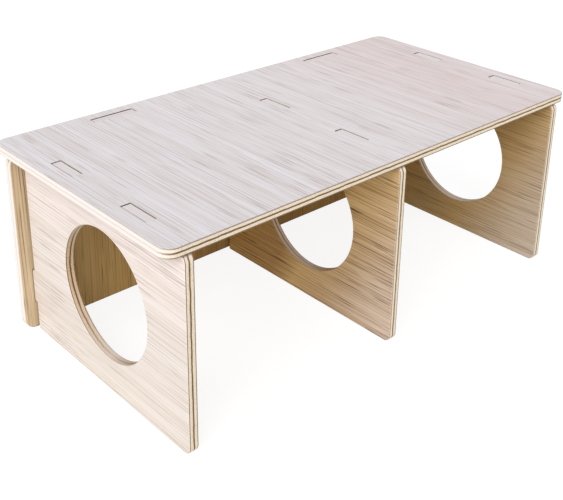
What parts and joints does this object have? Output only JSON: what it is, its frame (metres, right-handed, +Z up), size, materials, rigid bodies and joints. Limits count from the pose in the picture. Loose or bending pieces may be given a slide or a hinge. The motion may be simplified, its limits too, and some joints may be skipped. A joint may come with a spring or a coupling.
{
  "type": "small_pet_house",
  "caption": "Flat-pack plywood house for a small pet, open at the front, with round doors through its cross panels and a lift-off flat roof",
  "frame": {"origin": "On the ground, at the middle of the outline seen from above", "axes": "+X along the house to its right end, +Y from the open front to the back board, +Z up"},
  "size_m": [0.28, 0.1442, 0.105],
  "materials": {
    "plywood": "sanded, unfinished"
  },
  "bodies": {
    "walls": {"back_board": "plywood", "left_end_panel": "plywood", "middle_panel": "plywood", "right_end_panel": "plywood"},
    "roof": {"roof_board": "plywood"}
  },
  "joints": [
    {"name": "roof_lift", "type": "slide", "parent": "walls", "child": "roof", "axis": [0, 0, 1], "range_m": [0, 0.03]}
  ]
}
